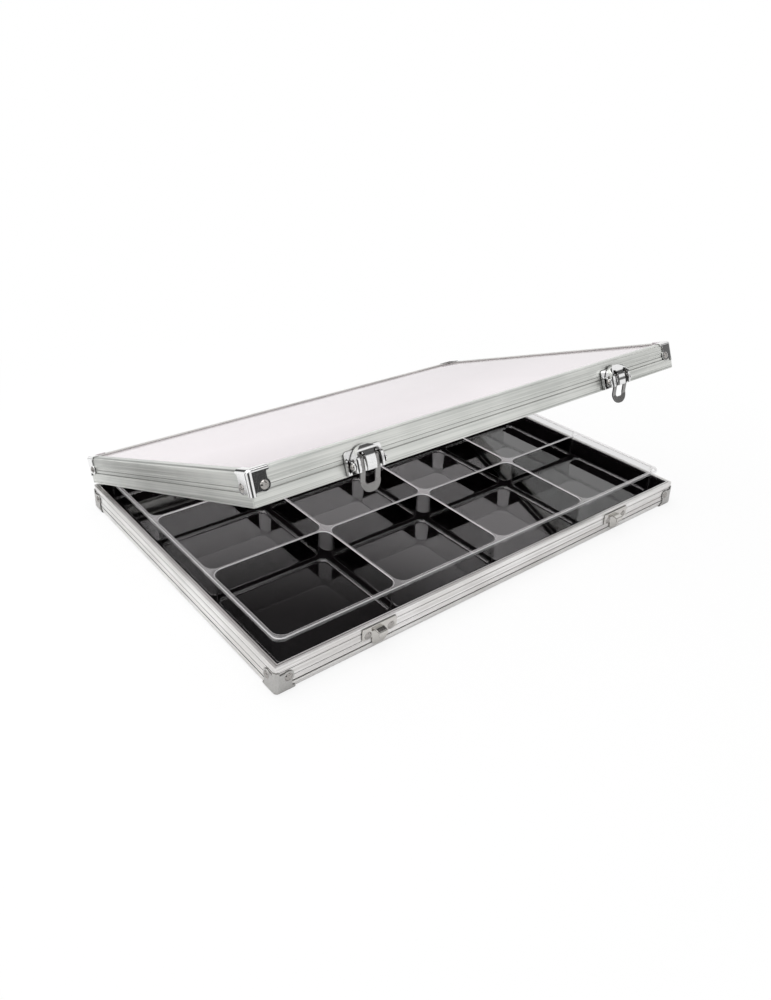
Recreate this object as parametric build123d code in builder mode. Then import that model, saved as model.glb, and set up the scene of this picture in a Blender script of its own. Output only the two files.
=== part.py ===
from build123d import *
import os

# Mineral specimen box: a flat aluminium-framed display case with a hinged, clear lid, two
# draw latches and one formed plastic tray of twelve compartments.
#
# Sizes are in millimetres. The origin is the middle of the underside, +X runs along the
# front, +Y to the back and +Z up. The pieces of the lid are modelled with the lid closed on
# the base and swung open about the hinge when they are saved.

# ---------------------------------------------------------------- driving dimensions: case
case_width = 370.0            # over the rails, along X
case_depth = 255.0            # over the rails, along Y
base_height = 17.8            # base rails
lid_height = 19.8             # lid rails
parting_gap = 0.4             # between the closed lid and the base
lid_angle = 20.9              # how far the lid stands open, in degrees

rail_wall = 1.3               # outer wall of every rail
rail_corner_radius = 1.8      # vertical corners of the case
rim_width = 3.3               # flat rim where lid and base meet
rim_sheet = 1.1               # thickness of that rim and of its turned lip
rim_lip = 3.0                 # height of the turned lip
rim_line_width = 0.5          # fine line along the base rim
rim_line_depth = 0.3
panel_fit = 0.1               # clearance of a panel in its groove, each side
groove_lip = 1.0              # thickness of the inner lip of a panel groove
deep_groove_width = 0.8       # decorative grooves along the rails
deep_groove_depth = 0.75
fine_groove_width = 0.4
fine_groove_depth = 0.3

base_edge_radius = 1.2        # bottom outer edge of the base rails
base_rim_radius = 0.4         # top outer edge of the base rails
base_ledge_width = 8.5        # ledge under the bottom panel
base_ledge_sheet = 1.2
base_groove_reach = 3.2       # inner lip of the bottom panel's groove
base_deep_groove = 4.5        # heights above the rail's underside
base_fine_grooves = (8.5, 13.8)

lid_edge_radius = 1.6         # top outer edge of the lid rails
lid_flange_width = 5.5        # flange over the clear panel
lid_flange_sheet = 1.2
lid_groove_reach = 4.0        # inner lip of the clear panel's groove
lid_band_setback = 0.25       # lower band, behind the upper band and the bottom bead
lid_band_top = 12.8           # heights above the rail's underside
lid_bead_height = 1.0
lid_deep_groove = 7.9
lid_fine_groove = 10.3

bottom_panel_thickness = 2.6
lid_panel_thickness = 2.5
panel_edge_gap = 0.3          # between a panel's edge and the rail's wall
lining_thickness = 1.0        # black sheet on the bottom panel
side_board_thickness = 1.6    # black strips along the walls
side_board_top_gap = 1.2      # below the base rim
lining_gap = 0.1              # between lining and rail

# ------------------------------------------------------------- driving dimensions: corner caps
cap_sheet = 0.8
cap_leg = 12.6                # along each rail, from the rails' corner
cap_edge_radius = 2.0         # rounded outer edges
cap_corner_radius = 3.0       # rounded vertical corner
cap_corner_fit = 0.2          # tighter inside than the rails' own corner radius
cap_band = 1.9                # band along the top or bottom edge
cap_strip_width = 2.3         # strip down the vertical corner
cap_strip_length = 14.2
cap_flange_width = 4.4        # face on the top or the underside
cap_lobe_radius = 3.7         # round lobe that takes the rivet
cap_lobe_along = 8.2
cap_lobe_down = 9.1
cap_web_along = 10.6          # edges of the web between lobe, band and strip
cap_web_down = 12.2
cap_notch_radius = 0.7
rivet_head_diameter = 5.2
rivet_head_height = 1.2
rivet_shank_diameter = 3.0
small_shank_diameter = 2.0    # rivets of the hinges, latches and catches
rivet_fit = 0.05              # radial clearance of every rivet in its hole
rivet_tail = 0.6              # shank beyond the rail's wall

# ------------------------------------------------------------------- driving dimensions: tray
tray_side_gap = 1.5           # between the tray's rim and the side linings
tray_front_gap = 3.5
tray_back_gap = 0.5
tray_rise = 10.3              # rim above the base rim
tray_sheet = 0.8
tray_columns = 4
tray_rows = 3
tray_divider = 2.0            # land between two pockets
tray_rim = 2.6                # land round the outside
tray_rim_skirt = 2.4          # turned-down edge
tray_corner_radius = 6.0
pocket_corner_radius = 7.0
pocket_floor_bevel = 1.6
pocket_draft = 2.5            # degrees

# ----------------------------------------------------------------- driving dimensions: hinges
hinge_spacing = 220.0         # between the two hinges
hinge_offset = 3.1            # axis behind the back face
hinge_length = 30.0
hinge_leaf_height = 12.0
hinge_leaf_sheet = 1.0
hinge_leaf_gap = 2.0          # axis to the near edge of a leaf
hinge_leaf_radius = 1.5
hinge_curl = 1.6              # depth of the neck between leaf and knuckle
hinge_pin_end = 0.5           # pin beyond the outer knuckles
hinge_barrel_radius = 2.5
hinge_knuckle_length = 9.6    # middle knuckle, on the lid
hinge_knuckle_gap = 0.2       # between knuckles
hinge_pin_radius = 1.2
hinge_rivet_spacing = 20.0
hinge_rivet_head = 4.0
hinge_rivet_height = 0.9
pin_fit = 0.05                # radial clearance of every pin in its hole

# ---------------------------------------------------------------- driving dimensions: latches
latch_spacing = 225.4         # between the two latches
latch_plate_width = 26.0
latch_plate_bottom = 0.4      # heights above the lid's lower edge
latch_plate_top = 14.0
latch_plate_sheet = 1.0
latch_flange_sheet = 0.9
latch_flange_depth = 2.4
latch_flange_top = 9.4
latch_plate_radius = 2.0
pivot_depth = 4.7             # lever pivot, in front of the lid's face
pivot_height = 5.4
ear_radius = 2.5
ear_sheet = 0.9
ear_foot_bottom = 1.6
ear_foot_top = 9.2
ear_gap = 0.3                 # between an ear and the lever's cheek
stub_radius = 0.9
stub_head_diameter = 3.5
stub_head_height = 1.0
stub_tail_radius = 1.2
stub_tail_height = 0.4
stub_end_gap = 0.2
plate_rivet_spacing = 8.0
plate_rivet_drop = 4.1        # below the clear panel's groove
plate_rivet_head = 4.0
plate_rivet_head_height = 0.8

lever_half_width = 10.3
lever_sheet = 0.9
lever_hollow_drop = 8.0       # how far the hollow runs out below the lid's lower edge
lever_top = 16.0
lever_heel_radius = 3.3       # round the pivot
lever_nose_bottom = 1.6
lever_nose_depth = 7.5
lever_belly_depth = 8.2
lever_belly_height = 6.2
lever_brow_depth = 7.1
lever_brow_height = 11.4
lever_corner_radius = 2.8      # rounding from the front to the cheeks
lever_crown_depth = 2.4       # front of the upper edge
lever_slot_top = 13.0
lever_slot_radius = 2.1
lever_slot_gap = 0.4          # between the loop's straps and the lever

loop_pin_depth = 4.4          # loop pin, in front of the lid's face
loop_pin_height = 8.6
loop_pin_radius = 0.9
loop_pin_half_length = 9.5
loop_sheet = 1.0
loop_strap_width = 3.45
loop_knee_depth = 5.1         # bend below the lever
loop_knee_height = 1.5
loop_ankle_height = -4.6      # bend above the hook
loop_bend_radius = 6.0
loop_bar_depth = 2.7          # bar behind the hook, in front of the base's face
loop_bar_height = 4.8
loop_corner_radius = 6.5
loop_inner_radius = 1.8
loop_side_gap = 0.4           # between the loop's straps and the hook
loop_seat_gap = 0.8           # under the hook, latched

catch_width = 26.0
catch_sheet = 0.9
catch_top = 1.2               # depths below the base rim
catch_ear_bottom = 9.1
catch_lobe_bottom = 15.1
catch_lobe_width = 11.0
catch_ear_radius = 1.0
catch_lobe_radius = 3.0
catch_rivet_spacing = 17.4
catch_rivet_drop = 6.6
catch_rivet_head = 5.4
catch_rivet_head_height = 0.9
hook_width = 6.5
hook_root_drop = 4.7
hook_tip_drop = 5.5
hook_reach = 4.55             # middle of the lip, in front of the base's face
hook_lip_bottom = 8.1
hook_bend_radius = 0.9

# -------------------------------------------------------------------------- derived values
half_width = case_width / 2
half_depth = case_depth / 2
base_bottom = cap_sheet
base_top = base_bottom + base_height
lid_bottom = base_top + parting_gap
lid_top = lid_bottom + lid_height
hinge_y = half_depth + hinge_offset
hinge_z = base_top + parting_gap / 2

bottom_panel_bottom = base_bottom + base_ledge_sheet + panel_fit
bottom_panel_top = bottom_panel_bottom + bottom_panel_thickness
lining_top = bottom_panel_top + lining_thickness
base_groove_top = base_ledge_sheet + bottom_panel_thickness + 2 * panel_fit
lid_groove_bottom = lid_height - lid_flange_sheet - lid_panel_thickness - 2 * panel_fit
lid_panel_bottom = lid_bottom + lid_groove_bottom + panel_fit

plate_rivet_height = lid_groove_bottom - plate_rivet_drop
lining_inset = max(base_groove_reach, rim_width) + lining_gap
board_inset = lining_inset + side_board_thickness

# Swings the closed lid open about the hinge axis.
hinge_axis = Location((0, hinge_y, hinge_z))
lid_tilt = hinge_axis * Location((0, 0, 0), (-lid_angle, 0, 0)) * hinge_axis.inverse()

os.makedirs("parts", exist_ok=True)


def save(piece, label, place=Location()):
    """Write a copy of a finished piece, in its place and under its own name."""
    with BuildPart() as placed:
        with Locations(place):
            add(piece.part)
    placed.part.label = label
    export_step(placed.part, f"parts/{label}.step")


# Each side of the case as a plane with x along the rail, y inward and z up, and the
# lengths of the case along and across that side.
sides = {
    "front": (Plane((0, -half_depth, 0), x_dir=(1, 0, 0)), case_width, case_depth),
    "right": (Plane((half_width, 0, 0), x_dir=(0, 1, 0)), case_depth, case_width),
    "back": (Plane((0, half_depth, 0), x_dir=(-1, 0, 0)), case_width, case_depth),
    "left": (Plane((-half_width, 0, 0), x_dir=(0, -1, 0)), case_depth, case_width),
}


# ------------------------------------------------------------------------------------ rails
def base_rail_section():
    """Section of a base rail, x inward from the outer face and y up from the underside."""
    lip = rim_width - rim_sheet
    with BuildSketch() as section:
        with BuildLine():
            Polyline(
                (0, 0),
                (base_ledge_width, 0),
                (base_ledge_width, base_ledge_sheet),
                (rail_wall, base_ledge_sheet),
                (rail_wall, base_groove_top),
                (base_groove_reach, base_groove_top),
                (base_groove_reach, base_groove_top + groove_lip),
                (rail_wall, base_groove_top + groove_lip),
                (rail_wall, base_height - rim_sheet),
                (lip, base_height - rim_sheet),
                (lip, base_height - rim_lip),
                (rim_width, base_height - rim_lip),
                (rim_width, base_height),
                (0, base_height),
                close=True,
            )
        make_face()
        fillet(section.vertices().group_by(Axis.X)[0].sort_by(Axis.Y)[0], base_edge_radius)
        fillet(section.vertices().group_by(Axis.X)[0].sort_by(Axis.Y)[-1], base_rim_radius)
        with Locations((0, base_deep_groove)):
            Rectangle(2 * deep_groove_depth, deep_groove_width, mode=Mode.SUBTRACT)
        with Locations(*[(0, height) for height in base_fine_grooves]):
            Rectangle(2 * fine_groove_depth, fine_groove_width, mode=Mode.SUBTRACT)
        with Locations((lip, base_height)):
            Rectangle(rim_line_width, 2 * rim_line_depth, mode=Mode.SUBTRACT)
    return section.sketch


def lid_rail_section():
    """Section of a lid rail, x inward from the outer face and y up from the underside."""
    lip = rim_width - rim_sheet
    with BuildSketch() as section:
        with BuildLine():
            Polyline(
                (0, 0),
                (rim_width, 0),
                (rim_width, rim_lip),
                (lip, rim_lip),
                (lip, rim_sheet),
                (rail_wall, rim_sheet),
                (rail_wall, lid_groove_bottom - groove_lip),
                (lid_groove_reach, lid_groove_bottom - groove_lip),
                (lid_groove_reach, lid_groove_bottom),
                (rail_wall, lid_groove_bottom),
                (rail_wall, lid_height - lid_flange_sheet),
                (lid_flange_width, lid_height - lid_flange_sheet),
                (lid_flange_width, lid_height),
                (0, lid_height),
                (0, lid_band_top),
                (lid_band_setback, lid_band_top - lid_band_setback),
                (lid_band_setback, lid_bead_height),
                (0, lid_bead_height),
                close=True,
            )
        make_face()
        fillet(section.vertices().group_by(Axis.X)[0].sort_by(Axis.Y)[-1], lid_edge_radius)
        with Locations((0, lid_deep_groove)):
            Rectangle(2 * deep_groove_depth, deep_groove_width, mode=Mode.SUBTRACT)
        with Locations((lid_band_setback, lid_fine_groove)):
            Rectangle(2 * fine_groove_depth, fine_groove_width, mode=Mode.SUBTRACT)
    return section.sketch


def frame_rail(side, length, across, section, bottom, height, holes):
    """Rail with mitred ends. Each hole is its place along the rail, its height and radius."""
    origin = side.origin + Vector(0, 0, bottom)
    inward = side.y_dir
    reach = base_ledge_width
    with BuildPart() as rail:
        with BuildSketch(Plane(origin, x_dir=inward, z_dir=side.x_dir)):
            add(section)
        extrude(amount=length / 2, both=True)
        with BuildSketch(Plane(origin, x_dir=side.x_dir)):
            with BuildLine():
                Polyline(
                    (-length / 2, 0),
                    (length / 2, 0),
                    (length / 2 - reach, reach),
                    (-length / 2 + reach, reach),
                    close=True,
                )
            make_face()
            with Locations((0, across / 2)):
                RectangleRounded(length, across, rail_corner_radius, mode=Mode.INTERSECT)
        extrude(amount=height, mode=Mode.INTERSECT)
        for radius in sorted({hole[2] for hole in holes}):
            with BuildSketch(Plane(origin, x_dir=side.x_dir, z_dir=-inward)):
                with Locations(*[hole[:2] for hole in holes if hole[2] == radius]):
                    Circle(radius)
            extrude(amount=-(rail_wall + rivet_tail), mode=Mode.SUBTRACT)
    return rail


corner_hole = rivet_shank_diameter / 2 + rivet_fit
small_hole = small_shank_diameter / 2 + rivet_fit


def holes_at(name, length, corner_height, front_holes, back_holes):
    """Rivet holes of one rail: its two corner caps, and the hardware of front or back."""
    ends = [(end * (length / 2 - cap_lobe_along), corner_height, corner_hole) for end in (-1, 1)]
    hardware = {"front": front_holes, "back": back_holes}
    return ends + hardware.get(name, [])


def hardware_holes(spacing, rivet_spacing, height):
    """Two pairs of small rivet holes, one pair at each latch, catch or hinge."""
    return [
        (place * spacing / 2 + end * rivet_spacing / 2, height, small_hole)
        for place in (-1, 1)
        for end in (-1, 1)
    ]


hinge_rivet_drop = hinge_leaf_gap + hinge_leaf_height / 2
catch_holes = hardware_holes(latch_spacing, catch_rivet_spacing, base_height - catch_rivet_drop)
latch_holes = hardware_holes(latch_spacing, plate_rivet_spacing, plate_rivet_height)
base_hinge_holes = hardware_holes(
    hinge_spacing, hinge_rivet_spacing, hinge_z - hinge_rivet_drop - base_bottom
)
lid_hinge_holes = hardware_holes(
    hinge_spacing, hinge_rivet_spacing, hinge_z + hinge_rivet_drop - lid_bottom
)

for name, (side, length, across) in sides.items():
    rail = frame_rail(
        side, length, across, base_rail_section(), base_bottom, base_height,
        holes_at(name, length, cap_lobe_down, catch_holes, base_hinge_holes),
    )
    save(rail, f"base_rail_{name}")
    rail = frame_rail(
        side, length, across, lid_rail_section(), lid_bottom, lid_height,
        holes_at(name, length, lid_height - cap_lobe_down, latch_holes, lid_hinge_holes),
    )
    save(rail, f"lid_rail_{name}", lid_tilt)


# ------------------------------------------------------------------------ panels and lining
def sheet(width, depth, bottom, thickness):
    """Flat rectangular sheet centred on the case."""
    with BuildPart() as panel:
        with BuildSketch(Plane.XY.offset(bottom)):
            Rectangle(width, depth)
        extrude(amount=thickness)
    return panel


panel_inset = rail_wall + panel_edge_gap
panel_width = case_width - 2 * panel_inset
panel_depth = case_depth - 2 * panel_inset
save(sheet(panel_width, panel_depth, bottom_panel_bottom, bottom_panel_thickness), "bottom_panel")
save(sheet(panel_width, panel_depth, lid_panel_bottom, lid_panel_thickness), "lid_panel", lid_tilt)

lining_width = case_width - 2 * lining_inset
lining_depth = case_depth - 2 * lining_inset
save(sheet(lining_width, lining_depth, bottom_panel_top, lining_thickness), "floor_lining")

board_height = base_top - side_board_top_gap - lining_top
for name, (side, length, across) in sides.items():
    # The long boards run the whole length and the short ones stand between them.
    inset = lining_inset if name in ("front", "back") else board_inset
    with BuildPart() as board:
        with BuildSketch(Plane(side.origin + Vector(0, 0, lining_top), x_dir=side.x_dir)):
            with Locations((0, lining_inset + side_board_thickness / 2)):
                Rectangle(length - 2 * inset, side_board_thickness)
        extrude(amount=board_height)
    save(board, f"side_lining_{name}")


# -------------------------------------------------------------------------------------- tray
tray_width = case_width - 2 * (board_inset + tray_side_gap)
tray_depth = case_depth - 2 * board_inset - tray_front_gap - tray_back_gap
pocket_width = (tray_width - 2 * tray_rim - (tray_columns - 1) * tray_divider) / tray_columns
pocket_depth = (tray_depth - 2 * tray_rim - (tray_rows - 1) * tray_divider) / tray_rows
tray_top = base_top + tray_rise
tray_height = tray_top - lining_top
tray_plane = Plane((0, (tray_front_gap - tray_back_gap) / 2, tray_top))


def tapered_pockets(grow, depth):
    """All pockets as tapered bodies with bevelled floors, their walls grown outward."""
    with BuildPart() as pockets:
        with BuildSketch(tray_plane):
            with GridLocations(
                pocket_width + tray_divider, pocket_depth + tray_divider, tray_columns, tray_rows
            ):
                RectangleRounded(
                    pocket_width + 2 * grow, pocket_depth + 2 * grow, pocket_corner_radius + grow
                )
        extrude(amount=-depth, taper=pocket_draft)
        floors = pockets.faces().sort_by(Axis.Z)[: tray_columns * tray_rows]
        chamfer(floors.edges(), pocket_floor_bevel)
    return pockets.part


pocket_shells = tapered_pockets(tray_sheet, tray_height)
pocket_hollows = tapered_pockets(0, tray_height - tray_sheet)
with BuildPart() as tray:
    # Flat land with its turned-down skirt
    with BuildSketch(tray_plane):
        RectangleRounded(tray_width, tray_depth, tray_corner_radius)
    extrude(amount=-tray_rim_skirt)
    with BuildSketch(tray_plane.offset(-tray_sheet)):
        RectangleRounded(
            tray_width - 2 * tray_sheet, tray_depth - 2 * tray_sheet, tray_corner_radius - tray_sheet
        )
    extrude(amount=-tray_rim_skirt, mode=Mode.SUBTRACT)
    # Twelve thin-walled pockets
    add(pocket_shells)
    add(pocket_hollows, mode=Mode.SUBTRACT)
save(tray, "compartment_tray")


# ------------------------------------------------------------------------------------ rivets
def rivet(head_diameter, head_height, shank_radius, shank_length, domed=True):
    """Rivet with a domed or a flat bevelled head, seated at z = 0 with its shank along -Z."""
    head_radius = head_diameter / 2
    dome_radius = (head_radius**2 + head_height**2) / (2 * head_height)
    with BuildPart() as piece:
        with BuildSketch(Plane.XZ):
            with BuildLine():
                Polyline(
                    (0, head_height),
                    (0, -shank_length),
                    (shank_radius, -shank_length),
                    (shank_radius, 0),
                    (head_radius, 0),
                )
                if domed:
                    RadiusArc((head_radius, 0), (0, head_height), -dome_radius)
                else:
                    Polyline(
                        (head_radius, 0),
                        (head_radius, head_height / 2),
                        (head_radius - head_height / 2, head_height),
                        (0, head_height),
                    )
            make_face()
        revolve(axis=Axis.Z)
    return piece.part


def rivet_set(shape, places):
    """The same rivet at several places, as one group of separate solids."""
    with BuildPart() as group:
        with Locations(*places):
            add(shape)
    return group


# ------------------------------------------------------------------------------- corner caps
corner = (Align.MIN, Align.MIN)


def cap_leg_outline():
    """Outline of one leg: x along the rail and y away from the cap's flange."""
    with BuildSketch() as outline:
        Rectangle(cap_leg, cap_band, align=corner)
        Rectangle(cap_strip_width, cap_strip_length, align=corner)
        Rectangle(cap_web_along, cap_lobe_down, align=corner)
        Rectangle(cap_lobe_along, cap_web_down, align=corner)
        with Locations((cap_lobe_along, cap_lobe_down)):
            Circle(cap_lobe_radius)
        # The corners away from the case's own edges are rounded.
        fillet([v for v in outline.vertices() if min(v.X, v.Y) > 0], cap_notch_radius)
        with Locations((cap_lobe_along, cap_lobe_down)):
            Circle(corner_hole, mode=Mode.SUBTRACT)
    return outline.sketch


def cap_leg_waste():
    """What is cut from the sheet of one leg to leave its outline and rivet hole."""
    with BuildPart() as waste:
        with BuildSketch(Plane(x_dir=(1, 0, 0), z_dir=(0, 1, 0), origin=(0, 0, 0))):
            Rectangle(cap_leg + cap_sheet, cap_strip_length + cap_sheet, align=corner)
            add(cap_leg_outline(), mode=Mode.SUBTRACT)
        extrude(amount=-2 * cap_sheet)
    return waste.part


leg_waste = cap_leg_waste()
diagonal = Plane((0, 0, 0), x_dir=(1, 1, 0), z_dir=(1, -1, 0))
with BuildPart() as corner_cap:
    # Block round the rails' corner: x and y run along the rails, z points out of the case
    with BuildSketch(Plane.XY.offset(cap_sheet)):
        with Locations((-cap_sheet, -cap_sheet)):
            Rectangle(cap_leg + cap_sheet, cap_leg + cap_sheet, align=corner)
    extrude(amount=-(cap_strip_length + cap_sheet))
    outward = Axis((0, 0, 0), (1, 1, 0))
    fillet(corner_cap.edges().filter_by(Axis.Z).sort_by(outward)[0], cap_corner_radius)
    rim = corner_cap.faces().sort_by(Axis.Z)[-1].edges().sort_by(outward)[:3]
    fillet(rim, cap_edge_radius)
    # Hollow for the rails, and the open middle of the flange
    with BuildSketch(Plane.XY):
        Rectangle(cap_leg, cap_leg, align=corner)
        fillet(vertices().sort_by(outward)[0], rail_corner_radius - cap_corner_fit)
    extrude(amount=-(cap_strip_length + cap_sheet), mode=Mode.SUBTRACT)
    with BuildSketch(Plane.XY):
        with Locations((cap_flange_width, cap_flange_width)):
            Rectangle(cap_leg, cap_leg, align=corner)
    extrude(amount=2 * cap_sheet, mode=Mode.SUBTRACT)
    add(leg_waste, mode=Mode.SUBTRACT)
    add(mirror(leg_waste, about=diagonal, mode=Mode.PRIVATE), mode=Mode.SUBTRACT)

corner_rivet = rivet(
    rivet_head_diameter, rivet_head_height, rivet_shank_diameter / 2,
    cap_sheet + rail_wall + rivet_tail,
)
leg_rivets = (
    Location((cap_lobe_along, -cap_sheet, -cap_lobe_down), (90, 0, 0)),
    Location((-cap_sheet, cap_lobe_along, -cap_lobe_down), (0, -90, 0)),
)


def corner_places(height, outward):
    """Places of the four caps: x along one rail, y along the other, z out of the case."""
    places = {}
    for end, side_y in (("front", -1), ("back", 1)):
        for hand, side_x in (("left", -1), ("right", 1)):
            along = (-side_x, 0, 0) if side_x * side_y * outward > 0 else (0, -side_y, 0)
            origin = (side_x * half_width, side_y * half_depth, height)
            places[f"{end}_{hand}"] = Plane(origin, x_dir=along, z_dir=(0, 0, outward)).location
    return places


for part_name, height, outward, swing in (
    ("base", base_bottom, -1, Location()),
    ("lid", lid_top, 1, lid_tilt),
):
    places = corner_places(height, outward)
    for name, place in places.items():
        save(corner_cap, f"{part_name}_corner_cap_{name}", swing * place)
    spots = [place * leg for place in places.values() for leg in leg_rivets]
    save(rivet_set(corner_rivet, spots), f"{part_name}_corner_rivets", swing)


# ------------------------------------------------------------------------------------ hinges
# Local frame of a hinge: x along its axis, y to the back and z up.
pin_hole_radius = hinge_pin_radius + pin_fit
outer_knuckle_length = (hinge_length - hinge_knuckle_length) / 2 - hinge_knuckle_gap


def hinge_leaf(up, knuckles):
    """Leaf above (up = 1) or below (up = -1) the axis. Each knuckle is its start and length."""
    leaf_middle = up * (hinge_leaf_gap + hinge_leaf_height / 2)
    with BuildPart() as leaf:
        for start, length in knuckles:
            with BuildSketch(Plane.YZ.offset(start)):
                Circle(hinge_barrel_radius)
                with Locations((-hinge_offset, 0)):
                    Rectangle(
                        hinge_curl,
                        hinge_leaf_gap + hinge_leaf_sheet,
                        align=(Align.MIN, Align.MIN if up > 0 else Align.MAX),
                    )
                Circle(pin_hole_radius, mode=Mode.SUBTRACT)
            extrude(amount=length)
        with BuildSketch(Plane.XZ.offset(hinge_offset)):
            with Locations((0, leaf_middle)):
                Rectangle(hinge_length, hinge_leaf_height)
            fillet(vertices().group_by(Axis.Y)[-1 if up > 0 else 0], hinge_leaf_radius)
            with Locations((-hinge_rivet_spacing / 2, leaf_middle), (hinge_rivet_spacing / 2, leaf_middle)):
                Circle(small_hole, mode=Mode.SUBTRACT)
        extrude(amount=-hinge_leaf_sheet)
    return leaf


outer_start = hinge_length / 2 - outer_knuckle_length
base_leaf = hinge_leaf(
    -1, ((-hinge_length / 2, outer_knuckle_length), (outer_start, outer_knuckle_length))
)
lid_leaf = hinge_leaf(1, ((-hinge_knuckle_length / 2, hinge_knuckle_length),))

with BuildPart() as hinge_pin:
    with BuildSketch(Plane.YZ):
        Circle(hinge_pin_radius)
    extrude(amount=hinge_length / 2 + hinge_pin_end, both=True)
    chamfer(hinge_pin.faces().filter_by(Plane.YZ).edges(), hinge_pin_end / 2)

hinge_rivet = rivet(
    hinge_rivet_head, hinge_rivet_height, small_shank_diameter / 2,
    hinge_leaf_sheet + rail_wall + rivet_tail, domed=False,
)


def hinge_rivet_places(up):
    """Rivets of both hinges' upper or lower leaves, on the back of the case."""
    height = hinge_z + up * hinge_rivet_drop
    return [
        Location((place * hinge_spacing / 2 + end * hinge_rivet_spacing / 2,
                  half_depth + hinge_leaf_sheet, height), (-90, 0, 0))
        for place in (-1, 1)
        for end in (-1, 1)
    ]


for hand, side_x in (("left", -1), ("right", 1)):
    place = Location((side_x * hinge_spacing / 2, hinge_y, hinge_z))
    save(base_leaf, f"hinge_base_leaf_{hand}", place)
    save(lid_leaf, f"hinge_lid_leaf_{hand}", lid_tilt * place)
    save(hinge_pin, f"hinge_pin_{hand}", place)
save(rivet_set(hinge_rivet, hinge_rivet_places(-1)), "hinge_base_rivets")
save(rivet_set(hinge_rivet, hinge_rivet_places(1)), "hinge_lid_rivets", lid_tilt)


# ------------------------------------------------------------------------------- draw latches
# Local frame of a latch: x from its middle, y = 0 on the rails' outer face and negative
# outward, z up from the lid's lower edge. A catch has the same frame at the base rim.
stub_hole = stub_radius + pin_fit
pin_hole = loop_pin_radius + pin_fit
ear_inner = lever_half_width + ear_gap
strap_inner = hook_width / 2 + loop_side_gap
strap_outer = strap_inner + loop_strap_width

with BuildPart() as latch_plate:
    with BuildSketch(Plane.XZ):
        with Locations((0, latch_plate_bottom)):
            Rectangle(
                latch_plate_width, latch_plate_top - latch_plate_bottom,
                align=(Align.CENTER, Align.MIN),
            )
        fillet(vertices().group_by(Axis.Y)[-1], latch_plate_radius)
        with Locations(
            (-plate_rivet_spacing / 2, plate_rivet_height), (plate_rivet_spacing / 2, plate_rivet_height)
        ):
            Circle(small_hole, mode=Mode.SUBTRACT)
    extrude(amount=latch_plate_sheet)
    # Turned-out side edge
    with BuildSketch(Plane.YZ.offset(latch_plate_width / 2)):
        with Locations((0, latch_plate_bottom)):
            Rectangle(
                latch_flange_depth, latch_flange_top - latch_plate_bottom,
                align=(Align.MAX, Align.MIN),
            )
        fillet(vertices().group_by(Axis.X)[0], latch_flange_sheet)
    extrude(amount=-latch_flange_sheet)
    # Ear round the lever's pivot
    with BuildSketch(Plane.YZ.offset(ear_inner)):
        with Locations((-pivot_depth, pivot_height)):
            Circle(ear_radius)
        with Locations((0, ear_foot_bottom)):
            Rectangle(
                latch_plate_sheet, ear_foot_top - ear_foot_bottom, align=(Align.MAX, Align.MIN)
            )
        make_hull()
        with Locations((-pivot_depth, pivot_height)):
            Circle(stub_hole, mode=Mode.SUBTRACT)
    extrude(amount=ear_sheet)
    mirror(about=Plane.YZ)

plate_rivet = rivet(
    plate_rivet_head, plate_rivet_head_height, small_shank_diameter / 2,
    latch_plate_sheet + rail_wall + rivet_tail, domed=False,
)
plate_rivet_places = [
    Location((end * plate_rivet_spacing / 2, -latch_plate_sheet, plate_rivet_height), (90, 0, 0))
    for end in (-1, 1)
]

# Stub rivet through an ear and the lever's cheek, with its tail inside the cheek
stub_length = ear_gap + ear_sheet + lever_sheet + stub_end_gap
with BuildPart() as stub_rivet:
    add(rivet(stub_head_diameter, stub_head_height, stub_radius, stub_length))
    with BuildSketch(Plane.XY.offset(-stub_length)):
        Circle(stub_tail_radius)
    extrude(amount=-stub_tail_height)
stub_places = [
    Location((end * (ear_inner + ear_sheet), -pivot_depth, pivot_height), (0, end * 90, 0))
    for end in (-1, 1)
]


def lever_body(inset, rear, bottom):
    """Domed body of the lever with its front, top and sides moved inward by inset."""
    nose = (-lever_nose_depth, lever_nose_bottom)
    brow = (-lever_brow_depth, lever_brow_height)
    crown = (-lever_crown_depth, lever_top)
    with BuildPart() as body:
        with BuildSketch(Plane.YZ):
            with BuildLine():
                belly = ThreePointArc(nose, (-lever_belly_depth, lever_belly_height), brow)
                TangentArc(brow, crown, tangent=belly % 1)
                Polyline(crown, (rear, lever_top), (rear, bottom), (-pivot_depth, bottom), nose)
            make_face()
            offset(amount=-inset, kind=Kind.INTERSECTION)
        extrude(amount=lever_half_width, both=True)
        with BuildSketch(Plane.XZ):
            with Locations((0, lever_top - lever_half_width)):
                Circle(lever_half_width)
                Rectangle(2 * lever_half_width, 2 * lever_half_width, align=(Align.CENTER, Align.MAX))
            offset(amount=-inset, kind=Kind.INTERSECTION)
        extrude(amount=2 * lever_belly_depth, both=True, mode=Mode.INTERSECT)
        with BuildSketch(Plane.XY):
            RectangleRounded(2 * lever_half_width, 2 * lever_belly_depth, lever_corner_radius)
            offset(amount=-inset, kind=Kind.INTERSECTION)
        extrude(amount=2 * lever_top, both=True, mode=Mode.INTERSECT)
    return body.part


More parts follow.
